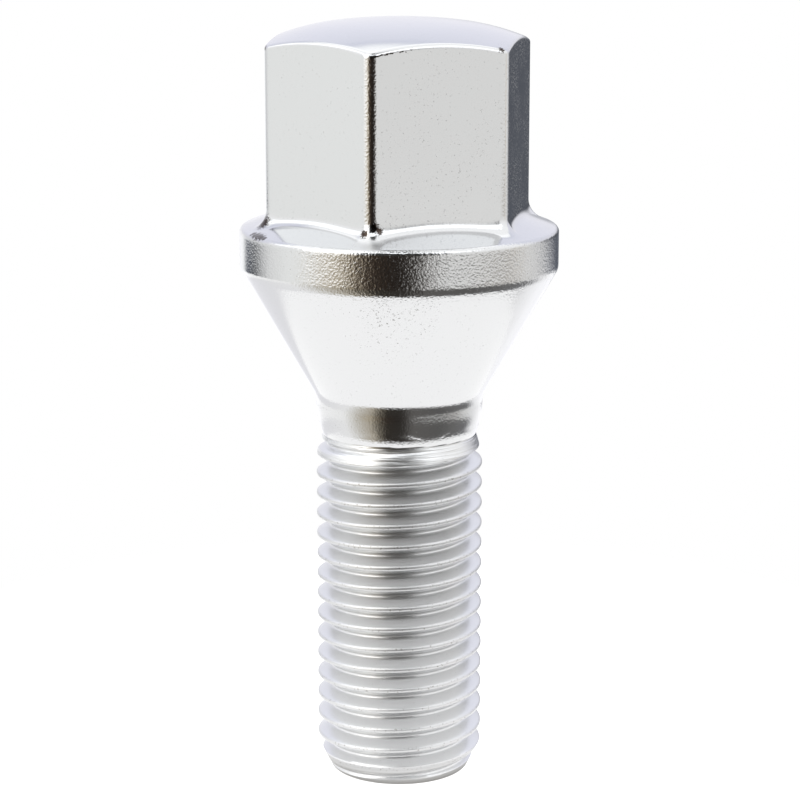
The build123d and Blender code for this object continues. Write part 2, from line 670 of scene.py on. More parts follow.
class NodeBuilder:
    """Adds and links the nodes of one shader tree."""

    def __init__(self, tree: bpy.types.NodeTree) -> None:
        """Keeps the tree that the nodes go into."""
        self.tree = tree

    def add(self, kind: str, settings: dict | None = None, **inputs: object) -> bpy.types.Node:
        """Adds a node, sets its properties and fills its inputs.

        Args:
            kind: The node's type name.
            settings: Node properties by name.
            **inputs: Values or output sockets by input name, with underscores for spaces, or by i and index.

        Returns:
            The new node.
        """
        node = self.tree.nodes.new(kind)
        for name, value in (settings or {}).items():
            setattr(node, name, value)
        for name, value in inputs.items():
            key = int(name[1:]) if name[0] == "i" and name[1:].isdigit() else name.replace("_", " ")
            self.fill(node.inputs[key], value)
        return node

    def fill(self, socket: bpy.types.NodeSocket, value: object) -> None:
        """Links an output socket to an input, or sets the input's value.

        Args:
            socket: The input.
            value: The output socket or the value.
        """
        if isinstance(value, bpy.types.NodeSocket):
            self.tree.links.new(value, socket)
        else:
            socket.default_value = value

    def math(self, operation: str, *values: object) -> bpy.types.NodeSocket:
        """Adds a math node.

        Args:
            operation: The node's operation.
            *values: Numbers or sockets, in the node's order.

        Returns:
            The result's socket.
        """
        node = self.add("ShaderNodeMath", {"operation": operation})
        for socket, value in zip(node.inputs, values):
            self.fill(socket, value)
        return node.outputs[0]

    def times(self, first: object, second: object) -> bpy.types.NodeSocket:
        """Product of two numbers or sockets."""
        return self.math("MULTIPLY", first, second)

    def step(self, value: object, low: float, high: float) -> bpy.types.NodeSocket:
        """Maps a value to a soft step from 0 at low to 1 at high.

        Args:
            value: The value's socket.
            low: Where the step starts.
            high: Where it ends.

        Returns:
            The step's socket.
        """
        node = self.add("ShaderNodeMapRange", {"interpolation_type": "SMOOTHSTEP"}, Value=value)
        self.fill(node.inputs["From Min"], low)
        self.fill(node.inputs["From Max"], high)
        return node.outputs["Result"]

    def within(self, value: object, band: Band) -> bpy.types.NodeSocket:
        """Maps a value to its share of a band."""
        return self.times(self.step(value, band.start, band.full), self.step(value, band.end, band.wane))

    def mix(self, share: object, first: object, second: object) -> bpy.types.NodeSocket:
        """Mixes two colours.

        Args:
            share: Share of the second colour.
            first: Colour or socket at share 0.
            second: Colour or socket at share 1.

        Returns:
            The mixed colour's socket.
        """
        node = self.add("ShaderNodeMix", {"data_type": "RGBA"})
        for index, value in ((0, share), (6, first), (7, second)):
            self.fill(node.inputs[index], value)
        return node.outputs[2]

    def noise(self, place: object, size: float, detail: float = 2.0) -> bpy.types.NodeSocket:
        """Adds a noise pattern.

        Args:
            place: Coordinates that the pattern lies in.
            size: Size of the pattern, in mm.
            detail: Finer octaves in the pattern.

        Returns:
            The pattern's value.
        """
        scale = 1.0 / (size * MM)
        return self.add("ShaderNodeTexNoise", Vector=place, Scale=scale, Detail=detail).outputs["Fac"]

    def distance(self, place: object, centre: Vector, label: str = "") -> bpy.types.NodeSocket:
        """Measures the distance of a place from a fixed point.

        Args:
            place: The place's socket.
            centre: The fixed point.
            label: What the node's label says.

        Returns:
            The distance's socket.
        """
        settings = {"operation": "DISTANCE", "label": label}
        return self.add("ShaderNodeVectorMath", settings, i0=place, i1=centre).outputs["Value"]


@dataclass(frozen=True)
class Mark:
    """Small dark spot of bare steel where the plating is thin.

    Attributes:
        name: Where the spot sits, which labels its node.
        reach: Distance from the axis, in mm.
        heading: Angle from +X round the axis, in degrees.
        height: Height above the tip, in mm.
        size: Radius of the spot, in mm.
    """

    name: str
    reach: float
    heading: float
    height: float
    size: float

    def place(self) -> Vector:
        """Centre of the spot, in mm."""
        turn = math.radians(self.heading)
        return Vector((self.reach * math.cos(turn), self.reach * math.sin(turn), self.height))


@dataclass(frozen=True)
class PlatedSteel:
    """Bright plating over forged steel: mirror-like, with orange peel, pits and satin thread flanks.

    Attributes:
        colour: Colour that the plating gives to what it mirrors.
        satin_colour: The same on the rolled thread.
        dust_colour: Colour of the dust's specks.
        pit_colour: Colour in the pits.
        bare_colour: Colour of the dark spots.
        polish: Roughness of the polished head.
        satin: Roughness of the rolled thread.
        crest_dulling: Share by which worn crests are rougher than the flanks.
        smudge_dulling: Roughness that smudges add.
        peel_depth: Depth of the relief at height 1, in mm.
        peel_size: Size of the orange peel's bumps, in mm.
        peel_detail: Finer octaves in the peel.
        grain_size: Size of the fine grain, in mm.
        grain_height: Height of the grain on smooth plating.
        grain_gain: Height that full pebble adds to the grain.
        pit_spacing: Mean distance between pits, in mm.
        pit_lot: Range of a cell's draw over which its pit grows to full size.
        pit_radius: Largest pit, as a share of the spacing.
        pit_edge: Soft edge of a pit, as a share of the spacing.
        pit_height: Height in a pit.
        pit_cover: Darkness of the pits on smooth plating.
        pit_gain: Darkness that full pebble adds to the pits.
        fleck_size: Size of the flecks of dust and wear, in mm.
        smudge_size: Size of the smudges, in mm.
        smudge_detail: Finer octaves in the smudges.
        smudge_range: Range of the smudges over which dust gathers.
        dust_range: Range of the flecks over which a speck of dust shows.
        dust_crowding: How much dust moves that range.
        dust_gain: Cover of the specks for each share of dust.
        dust_cover: Highest cover of a speck.
        crest_range: Range of the flecks over which a crest is worn.
        crest_cover: Darkness of the crests' wear.
        tear_gain: How much the flecks tear the worn edge of the dome.
        tear_range: Range over which that edge is bare.
        fray_size: Size of the frayed borders of the dark spots, in mm.
        fray_gain: How far the borders fray, in radii of the spot.
        fray_range: Range over which a spot ends, in radii.
        brush_size: Width of the turned lines on the run-out, in mm.
        brush_height: Height of those lines.
        brush_stretch: Squeeze of their pattern along each axis, which draws it out round the shank.
        marks: Dark spots where the plating is thin.
    """

    colour: Colour = (0.60, 0.602, 0.605, 1.0)
    satin_colour: Colour = (0.68, 0.683, 0.687, 1.0)
    dust_colour: Colour = (0.30, 0.295, 0.29, 1.0)
    pit_colour: Colour = (0.16, 0.14, 0.12, 1.0)
    bare_colour: Colour = (0.042, 0.031, 0.025, 1.0)
    polish: float = 0.09
    satin: float = 0.32
    crest_dulling: float = 0.3
    smudge_dulling: float = 0.05
    peel_depth: float = 0.025
    peel_size: float = 0.155
    peel_detail: float = 1.5
    grain_size: float = 0.1
    grain_height: float = 0.035
    grain_gain: float = 0.10
    pit_spacing: float = 0.26
    pit_lot: Range = (0.6, 1.0)
    pit_radius: float = 0.17
    pit_edge: float = 0.08
    pit_height: float = -0.12
    pit_cover: float = 0.25
    pit_gain: float = 0.4
    fleck_size: float = 0.16
    smudge_size: float = 2.4
    smudge_detail: float = 3.0
    smudge_range: Range = (0.30, 0.62)
    dust_range: Range = (0.66, 0.76)
    dust_crowding: float = 0.12
    dust_gain: float = 1.6
    dust_cover: float = 0.8
    crest_range: Range = (0.60, 0.70)
    crest_cover: float = 0.6
    tear_gain: float = 2.4
    tear_range: Range = (1.92, 2.15)
    fray_size: float = 0.08
    fray_gain: float = 4.0
    fray_range: Range = (3.6, 3.0)
    brush_size: float = 0.16
    brush_height: float = 2.5
    brush_stretch: tuple[float, float, float] = (0.04, 0.04, 1.0)
    marks: tuple[Mark, ...] = (
        Mark("foot of the front corner, left", 9.8, -92.3, 40.7, 0.2),
        Mark("foot of the front corner, right", 9.65, -88.0, 41.1, 0.24),
        Mark("foot of the front corner, further right", 9.62, -86.2, 40.9, 0.2),
        Mark("foot of the left corner", 9.95, -149.0, 40.5, 0.4),
        Mark("flange's edge at the left", 11.0, -135.0, 39.86, 0.14),
        Mark("flange's edge a little further left", 10.98, -137.4, 39.87, 0.22),
        Mark("flange's edge further left", 10.95, -140.0, 39.88, 0.26),
        Mark("flange's edge still further left", 10.92, -142.6, 39.89, 0.24),
        Mark("flange's edge furthest left", 10.9, -145.4, 39.9, 0.18),
        Mark("dome's left corner", 9.5, -150.0, 52.5, 0.14),
        Mark("dome's right corner", 9.4, -32.0, 52.65, 0.16),
    )

    def _relief_group(self) -> bpy.types.NodeTree:
        """Builds the group for the plating's relief.

        Returns:
            A group that puts out the relief's height and the pits' mask.
        """
        group = bpy.data.node_groups.new("plating_relief", "ShaderNodeTree")
        sockets = group.interface
        sockets.new_socket("Vector", in_out="INPUT", socket_type="NodeSocketVector")
        sockets.new_socket("Pebble", in_out="INPUT", socket_type="NodeSocketFloat")
        sockets.new_socket("Height", in_out="OUTPUT", socket_type="NodeSocketFloat")
        sockets.new_socket("Pits", in_out="OUTPUT", socket_type="NodeSocketFloat")
        build = NodeBuilder(group)
        given = build.add("NodeGroupInput").outputs
        result = build.add("NodeGroupOutput")
        peel = build.noise(given["Vector"], self.peel_size, self.peel_detail)
        grain = build.noise(given["Vector"], self.grain_size)
        spacing = 1.0 / (self.pit_spacing * MM)
        cells = build.add("ShaderNodeTexVoronoi", {"feature": "F1"}, Vector=given["Vector"], Scale=spacing)
        lot = build.add("ShaderNodeSeparateColor", Color=cells.outputs["Color"]).outputs[0]
        size = build.times(build.step(lot, *self.pit_lot), self.pit_radius)
        depth = build.math("SUBTRACT", size, cells.outputs["Distance"])
        pits = build.step(depth, 0.0, self.pit_edge)
        grain_share = build.math("MULTIPLY_ADD", given["Pebble"], self.grain_gain, self.grain_height)
        bumps = build.math("ADD", build.times(peel, given["Pebble"]), build.times(grain, grain_share))
        build.fill(result.inputs["Height"], build.math("MULTIPLY_ADD", pits, self.pit_height, bumps))
        build.fill(result.inputs["Pits"], pits)
        return group

    def _dust(self, build: NodeBuilder, dusty: object, fleck: object, smudge: object) -> bpy.types.NodeSocket:
        """Strews specks of dust, in patches.

        Args:
            build: Builder of the material's nodes.
            dusty: Share of dust.
            fleck: Pattern of the specks.
            smudge: Pattern of the patches.

        Returns:
            The dust's cover.
        """
        crowd = build.math("MULTIPLY_ADD", dusty, self.dust_crowding, fleck)
        specks = build.times(build.step(crowd, *self.dust_range), build.step(smudge, *self.smudge_range))
        cover = build.math("MINIMUM", build.times(dusty, self.dust_gain), self.dust_cover)
        return build.times(specks, cover)

    def _bare(self, build: NodeBuilder, place: object, worn: object, fleck: object) -> bpy.types.NodeSocket:
        """Bares the dome's torn edge and the dark spots.

        Args:
            build: Builder of the material's nodes.
            place: Coordinates on the piece.
            worn: Share of wear on the dome's edge.
            fleck: Pattern that tears it.

        Returns:
            The mask of bare steel.
        """
        fray = build.noise(place, self.fray_size)
        bare = build.step(build.math("MULTIPLY_ADD", fleck, self.tear_gain, worn), *self.tear_range)
        for mark in self.marks:
            radius = mark.size * MM
            gap = build.distance(place, mark.place() * MM, mark.name)
            frayed = build.math("MULTIPLY_ADD", fray, radius * self.fray_gain, gap)
            ends = (radius * limit for limit in self.fray_range)
            bare = build.math("MAXIMUM", bare, build.step(frayed, *ends))
        return bare

    def material(self) -> bpy.types.Material:
        """Mixes the finish.

        Returns:
            The plated steel's material.
        """
        made = bpy.data.materials.new("plated_steel")
        made.use_nodes = True
        made.node_tree.nodes.clear()
        build = NodeBuilder(made.node_tree)
        place = build.add("ShaderNodeTexCoord").outputs["Object"]
        traits = {
            trait: build.add("ShaderNodeAttribute", {"attribute_name": trait.value}).outputs["Fac"]
            for trait in Trait
        }
        satin, crest, pebble = traits[Trait.SATIN], traits[Trait.CREST], traits[Trait.PEBBLE]
        settings = {"node_tree": self._relief_group()}
        relief = build.add("ShaderNodeGroup", settings, Vector=place, Pebble=pebble).outputs
        fleck = build.noise(place, self.fleck_size)
        smudge = build.noise(place, self.smudge_size, self.smudge_detail)
        dust = self._dust(build, traits[Trait.DUST], fleck, smudge)
        bare = self._bare(build, place, traits[Trait.WORN], fleck)

        crest_wear = build.times(build.step(fleck, *self.crest_range), build.times(crest, self.crest_cover))
        pit_share = build.math("MULTIPLY_ADD", pebble, self.pit_gain, self.pit_cover)
        pits = build.times(relief["Pits"], pit_share)
        dark = build.math("MAXIMUM", pits, build.times(crest_wear, satin))
        flanks = build.times(satin, build.math("SUBTRACT", 1.0, crest))
        plating = build.mix(dark, build.mix(flanks, self.colour, self.satin_colour), self.pit_colour)
        plating = build.mix(dust, plating, self.dust_colour)

        dulled = build.times(satin, build.math("MULTIPLY_ADD", crest, self.crest_dulling, 1.0))
        rough = build.math("MULTIPLY_ADD", dulled, self.satin - self.polish, self.polish)
        rough = build.math("MULTIPLY_ADD", smudge, self.smudge_dulling, rough)

        drawn = build.add("ShaderNodeMapping", Vector=place, Scale=self.brush_stretch).outputs["Vector"]
        lines = build.times(build.noise(drawn, self.brush_size), traits[Trait.BRUSHED])
        height = build.math("MULTIPLY_ADD", lines, self.brush_height, relief["Height"])
        bump = build.add("ShaderNodeBump", Height=height, Strength=1.0, Distance=self.peel_depth * MM)
        shader = build.add(
            "ShaderNodeBsdfPrincipled",
            Base_Color=build.mix(bare, plating, self.bare_colour),
            Metallic=build.math("SUBTRACT", 1.0, dust),
            Roughness=rough,
            Normal=bump.outputs["Normal"],
        )
        build.add("ShaderNodeOutputMaterial", Surface=shader.outputs["BSDF"])
        return made


@dataclass(frozen=True)
class SurfaceMap:
    """Where each surface trait lies and how strong it is. Distances in mm, headings in degrees from +X.

    Attributes:
        thread: Heights over which the satin thread ends, from the seat's lower edge.
        crests: Heights over which the crests' wear ends, from there too.
        brushed: Run-out with its turned lines, from there too.
        neck: Pebbled neck, from there too.
        crest_width: Distances from a crest over which its wear ends.
        seat: Pebbled upper part of the seat, from the rim's lower edge.
        rim: Pebbled rim, from there too.
        streak: Dusty streak on the seat, from there too.
        apron: Heights over which the flange in front of a corner starts, from there too.
        foot: Foot of the hexagon, from there too.
        wall: Hexagon's wall, from there too.
        brow: Heights over which the dome's edge starts, from there too.
        streak_headings: Headings of the streak.
        smooth_rim: Headings over which the rim gets smoother towards the left.
        apron_headings: Headings of the flange in front of the front corner.
        right_face: Headings of the face at the camera's right.
        right_foot: Headings of that face's foot.
        third_face: Headings of the next face to the right.
        front_corner: Headings within which a corner is the front one.
        apron_reach: Distances from the axis over which that flange starts.
        corner_reach: Distances over which the hexagon's corners start.
        brow_drop: Drop below the dome's shape over which its edge is worn.
        tear_headings: Headings along the worn edge.
        tear_shares: Wear at each of those headings.
        plain_pebble: Pebble elsewhere.
        neck_pebble: Pebble of the neck.
        seat_pebble: Pebble of the seat and of the third face.
        foot_pebble: Pebble of the right face's foot.
        corner_pebble: Pebble of the hexagon's other corners.
        front_pebble: Pebble of its front corner.
        rim_smoothing: Share of the rim's pebble that is missing at the left.
        plain_dust: Dust elsewhere.
        right_dust: Dust on the right face.
        streak_dust: Dust in the streak.
        rim_dust: Dust on the rim.
    """

    thread: Range = (-2.65, -3.15)
    crests: Range = (-3.95, -4.45)
    brushed: Band = Band(-4.65, -4.15, -2.95, -2.8)
    neck: Band = Band(-2.95, -2.65, 0.05, 0.55)
    crest_width: Range = (0.2, 0.1)
    seat: Band = Band(-3.43, -0.33, -0.33, -0.03)
    rim: Band = Band(-0.93, -0.13, 2.82, 3.02)
    streak: Band = Band(-6.93, -0.93, -0.33, -0.03)
    apron: Range = (2.77, 2.87)
    foot: Band = Band(3.52, 3.77, 4.37, 4.97)
    wall: Band = Band(3.87, 4.27, 15.97, 16.27)
    brow: Range = (14.57, 15.07)
    streak_headings: Band = Band(-105.0, -85.0, -73.0, -53.0)
    smooth_rim: Range = (-113.0, -122.0)
    apron_headings: Band = Band(-97.0, -94.0, -86.0, -83.0)
    right_face: Band = Band(-94.0, -88.0, -32.0, -26.0)
    right_foot: Band = Band(-96.0, -90.0, -30.0, -24.0)
    third_face: Band = Band(-31.0, -28.0, 28.0, 31.0)
    front_corner: Range = (-110.0, -70.0)
    apron_reach: Range = (9.9, 10.2)
    corner_reach: Range = (9.5, 9.56)
    brow_drop: Band = Band(0.1, 0.2, 0.27, 0.38)
    tear_headings: tuple[float, ...] = (-92.0, -89.0, -80.0, -66.0, -52.0)
    tear_shares: tuple[float, ...] = (0.0, 1.0, 0.8, 0.42, 0.0)
    plain_pebble: float = 0.06
    neck_pebble: float = 0.36
    seat_pebble: float = 0.14
    foot_pebble: float = 0.22
    corner_pebble: float = 0.3
    front_pebble: float = 0.6
    rim_smoothing: float = 0.6
    plain_dust: float = 0.1
    right_dust: float = 0.24
    streak_dust: float = 0.6
    rim_dust: float = 0.2

    def traits(self, head: BoltHead, shank: ThreadedShank, spots: np.ndarray) -> dict[Trait, np.ndarray]:
        """Finds the traits at points of the bolt.

        Args:
            head: Head that the heights are taken from.
            shank: Shank with the thread's crests.
            spots: Points in mm, one row each.

        Returns:
            Each trait's share at every point.
        """
        radius = np.hypot(spots[:, 0], spots[:, 1])
        turn = np.arctan2(spots[:, 1], spots[:, 0])
        heading = np.degrees(turn)
        below = spots[:, 2] - head.shank_length
        above = spots[:, 2] - head.rim_bottom

        apron = self.apron_headings.share(heading) * smooth_step(*self.apron_reach, radius)
        apron = apron * smooth_step(*self.apron, above)
        rim = self.rim.share(above) * (1.0 - self.rim_smoothing * smooth_step(*self.smooth_rim, heading))
        wall = self.wall.share(above)
        third_face = wall * self.third_face.share(heading)
        streak = self.streak.share(above) * self.streak_headings.share(heading)

        first, last = self.front_corner
        at_front = (heading > first) & (heading < last)
        corner = wall * smooth_step(*self.corner_reach, radius)
        corner = corner * np.where(at_front, self.front_pebble, self.corner_pebble)
        pebble = (
            np.full_like(rim, self.plain_pebble),
            rim,
            corner,
            self.neck_pebble * self.neck.share(below),
            self.seat_pebble * np.maximum(self.seat.share(above), third_face),
            self.foot_pebble * self.foot.share(above) * self.right_foot.share(heading),
        )
        dust = (
            np.full_like(rim, self.plain_dust),
            self.right_dust * wall * self.right_face.share(heading),
            third_face,
            self.streak_dust * streak,
            self.rim_dust * rim,
        )
        crest = smooth_step(*self.crest_width, np.abs(shank.off_crest(turn, spots[:, 2])))
        drop = head.dome_at(np.minimum(radius, head.outline.corner_reach)) - spots[:, 2]
        worn = self.brow_drop.share(drop) * smooth_step(*self.brow, above)
        return {
            Trait.SATIN: np.maximum(smooth_step(*self.thread, below), apron),
            Trait.PEBBLE: np.maximum.reduce(pebble),
            Trait.CREST: crest * smooth_step(*self.crests, below),
            Trait.BRUSHED: self.brushed.share(below),
            Trait.DUST: np.maximum.reduce(dust),
            Trait.WORN: worn * np.interp(heading, self.tear_headings, self.tear_shares),
        }


@dataclass
class WheelBolt:
    """The bolt: head and shank in one closed piece.

    Attributes:
        head: Head, seat and neck.
        shank: Threaded shank.
        finish: Plating of the whole piece.
        surface: Where the plating is satin, pebbled, dusty or worn.
        smooth_angle: Sharpest edge that is shaded as round, in degrees.
    """

    head: BoltHead
    shank: ThreadedShank
    finish: PlatedSteel
    surface: SurfaceMap
    smooth_angle: float = 50.0

    def build(self) -> bpy.types.Object:
        """Makes both ends, joins them at the neck, smooths the piece and plates it.

        Returns:
            The bolt's mesh, riding on the CAD body in place of its solid.
        """
        shank = self.shank.build()
        piece = self.head.build()
        self._join(piece, shank)
        piece.name = "plated_wheel_bolt"
        traits = self.surface.traits(self.head, self.shank, mesh_points(piece) / MM)
        for trait, values in traits.items():
            layer = piece.data.attributes.new(trait.value, "FLOAT", "POINT")
            layer.data.foreach_set("value", values.astype(np.float32))
        piece.data.materials.clear()
        piece.data.materials.append(self.finish.material())
        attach(piece, BODY)
        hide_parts(NODE)
        return piece

    def _join(self, piece: bpy.types.Object, shank: bpy.types.Object) -> None:
        """Joins the shank to the head, bridges the gap at the neck and smooths the whole.

        Args:
            piece: The head, open at the neck, which becomes the whole bolt.
            shank: The shank, open at the neck.
        """
        bpy.ops.object.select_all(action="DESELECT")
        shank.select_set(True)
        piece.select_set(True)
        bpy.context.view_layer.objects.active = piece
        bpy.ops.object.join()
        edit_only(piece)
        bpy.ops.mesh.select_mode(type="EDGE")
        bpy.ops.mesh.select_all(action="DESELECT")
        unwanted = dict.fromkeys(("use_wire", "use_multi_face", "use_non_contiguous", "use_verts"), False)
        bpy.ops.mesh.select_non_manifold(extend=False, use_boundary=True, **unwanted)
        bpy.ops.mesh.bridge_edge_loops()
        bpy.ops.mesh.select_all(action="SELECT")
        bpy.ops.mesh.normals_make_consistent(inside=False)
        bpy.ops.object.mode_set(mode="OBJECT")
        bpy.ops.object.shade_smooth_by_angle(angle=math.radians(self.smooth_angle))


@dataclass(frozen=True)
class Stop:
    """Light that the plating mirrors from one direction of the surroundings.

    Attributes:
        angle: Heading from the camera, positive to its right, or elevation, in degrees.
        shade: Light there, as linear red, green and blue.
    """

    angle: float
    shade: tuple[float, float, float]


# Light round the horizon at the height that the rim mirrors
RIM_LEVEL = (
    Stop(-180, (0.68, 0.68, 0.72)),
    Stop(-152, (0.90, 0.91, 0.92)),
    Stop(-142, (0.05, 0.06, 0.085)),
    Stop(-126, (0.06, 0.065, 0.07)),
    Stop(-108, (0.66, 0.66, 0.66)),
    Stop(-84, (0.84, 0.85, 0.84)),
    Stop(-70, (0.74, 0.73, 0.69)),
    Stop(-56, (0.52, 0.465, 0.375)),
    Stop(-44, (0.43, 0.37, 0.265)),
    Stop(-32, (0.16, 0.13, 0.095)),
    Stop(-22, (0.040, 0.028, 0.020)),
    Stop(-2, (0.006, 0.005, 0.004)),
    Stop(5, (0.020, 0.017, 0.015)),
    Stop(10, (0.10, 0.095, 0.09)),
    Stop(17, (0.60, 0.59, 0.58)),
    Stop(24, (0.82, 0.82, 0.81)),
    Stop(44, (0.80, 0.80, 0.79)),
    Stop(66, (0.60, 0.58, 0.55)),
    Stop(80, (0.36, 0.33, 0.295)),
    Stop(94, (0.60, 0.585, 0.565)),
    Stop(128, (0.62, 0.62, 0.62)),
    Stop(142, (0.34, 0.35, 0.38)),
    Stop(156, (0.055, 0.066, 0.090)),
    Stop(168, (0.12, 0.13, 0.15)),
    Stop(180, (0.68, 0.68, 0.72)),
)

# Light a little lower, which the neck mirrors
NECK_LEVEL = (
    Stop(-180, (0.78, 0.78, 0.82)),
    Stop(-150, (0.98, 0.98, 0.99)),
    Stop(-84, (0.92, 0.92, 0.91)),
    Stop(-70, (0.70, 0.69, 0.65)),
    Stop(-56, (0.44, 0.40, 0.33)),
    Stop(-44, (0.42, 0.365, 0.265)),
    Stop(-32, (0.19, 0.155, 0.11)),
    Stop(-22, (0.040, 0.028, 0.020)),
    Stop(-2, (0.020, 0.017, 0.015)),
    Stop(10, (0.045, 0.040, 0.036)),
    Stop(22, (0.18, 0.175, 0.17)),
    Stop(36, (0.30, 0.30, 0.29)),
    Stop(60, (0.34, 0.34, 0.33)),
    Stop(84, (0.46, 0.45, 0.44)),
    Stop(100, (0.66, 0.66, 0.65)),
    Stop(124, (0.80, 0.80, 0.81)),
    Stop(150, (0.95, 0.95, 0.96)),
    Stop(180, (0.78, 0.78, 0.82)),
)

# Light just below the horizon, which the hexagon mirrors
HEXAGON_LEVEL = (
    Stop(-180, (0.68, 0.68, 0.72)),
    Stop(-152, (0.86, 0.86, 0.87)),
    Stop(-142, (0.66, 0.67, 0.69)),
    Stop(-124, (0.64, 0.65, 0.66)),
    Stop(-108, (0.76, 0.77, 0.77)),
    Stop(-98, (0.83, 0.84, 0.83)),
    Stop(-76, (0.85, 0.86, 0.85)),
    Stop(-64, (1.06, 1.05, 1.03)),
    Stop(-46, (1.04, 1.01, 0.95)),
    Stop(-37, (0.58, 0.51, 0.41)),
    Stop(-28, (0.10, 0.075, 0.055)),
    Stop(-18, (0.028, 0.020, 0.015)),
    Stop(1, (0.016, 0.012, 0.010)),
    Stop(8, (0.04, 0.034, 0.028)),
    Stop(15, (0.24, 0.225, 0.21)),
    Stop(23, (0.74, 0.74, 0.73)),
    Stop(60, (0.76, 0.76, 0.75)),
    Stop(84, (0.79, 0.79, 0.78)),
    Stop(91, (0.64, 0.59, 0.52)),
    Stop(98, (0.79, 0.79, 0.78)),
    Stop(110, (0.76, 0.76, 0.76)),
    Stop(122, (0.48, 0.48, 0.49)),
    Stop(132, (0.17, 0.175, 0.19)),
    Stop(142, (0.085, 0.090, 0.105)),
    Stop(160, (0.070, 0.076, 0.090)),
    Stop(170, (0.12, 0.13, 0.15)),
    Stop(180, (0.68, 0.68, 0.72)),
)

# Light past the table's edge
TABLE_EDGE = (
    Stop(-180, (0.68, 0.68, 0.72)),
    Stop(-84, (0.86, 0.86, 0.86)),
    Stop(-62, (0.58, 0.56, 0.51)),
    Stop(-44, (0.42, 0.38, 0.31)),
    Stop(-30, (0.13, 0.115, 0.09)),
    Stop(-18, (0.030, 0.026, 0.021)),
    Stop(4, (0.030, 0.027, 0.024)),
    Stop(20, (0.11, 0.105, 0.10)),
    Stop(62, (0.10, 0.098, 0.096)),
    Stop(86, (0.14, 0.138, 0.136)),
    Stop(112, (0.16, 0.16, 0.165)),
    Stop(122, (0.46, 0.46, 0.47)),
    Stop(132, (0.86, 0.86, 0.87)),
    Stop(150, (0.93, 0.93, 0.95)),
    Stop(180, (0.68, 0.68, 0.72)),
)

# Light by elevation behind the bolt, which the dome mirrors
SKY_BEHIND = (
    Stop(-180, (0.64, 0.64, 0.69)),
    Stop(2, (0.66, 0.66, 0.70)),
    Stop(8, (0.70, 0.70, 0.755)),
    Stop(16, (0.72, 0.725, 0.80)),
    Stop(28, (0.74, 0.75, 0.84)),
    Stop(40, (0.73, 0.745, 0.84)),
    Stop(43, (0.58, 0.60, 0.72)),
    Stop(46, (0.95, 0.97, 1.0)),
    Stop(52, (1.15, 1.16, 1.18)),
    Stop(180, (1.15, 1.16, 1.18)),
)

# Light by elevation on the camera's side
SKY_FRONT = (
    Stop(-180, (0.84, 0.84, 0.84)),
    Stop(4, (0.86, 0.86, 0.86)),
    Stop(30, (0.98, 0.99, 1.0)),
    Stop(180, (1.04, 1.05, 1.06)),
)


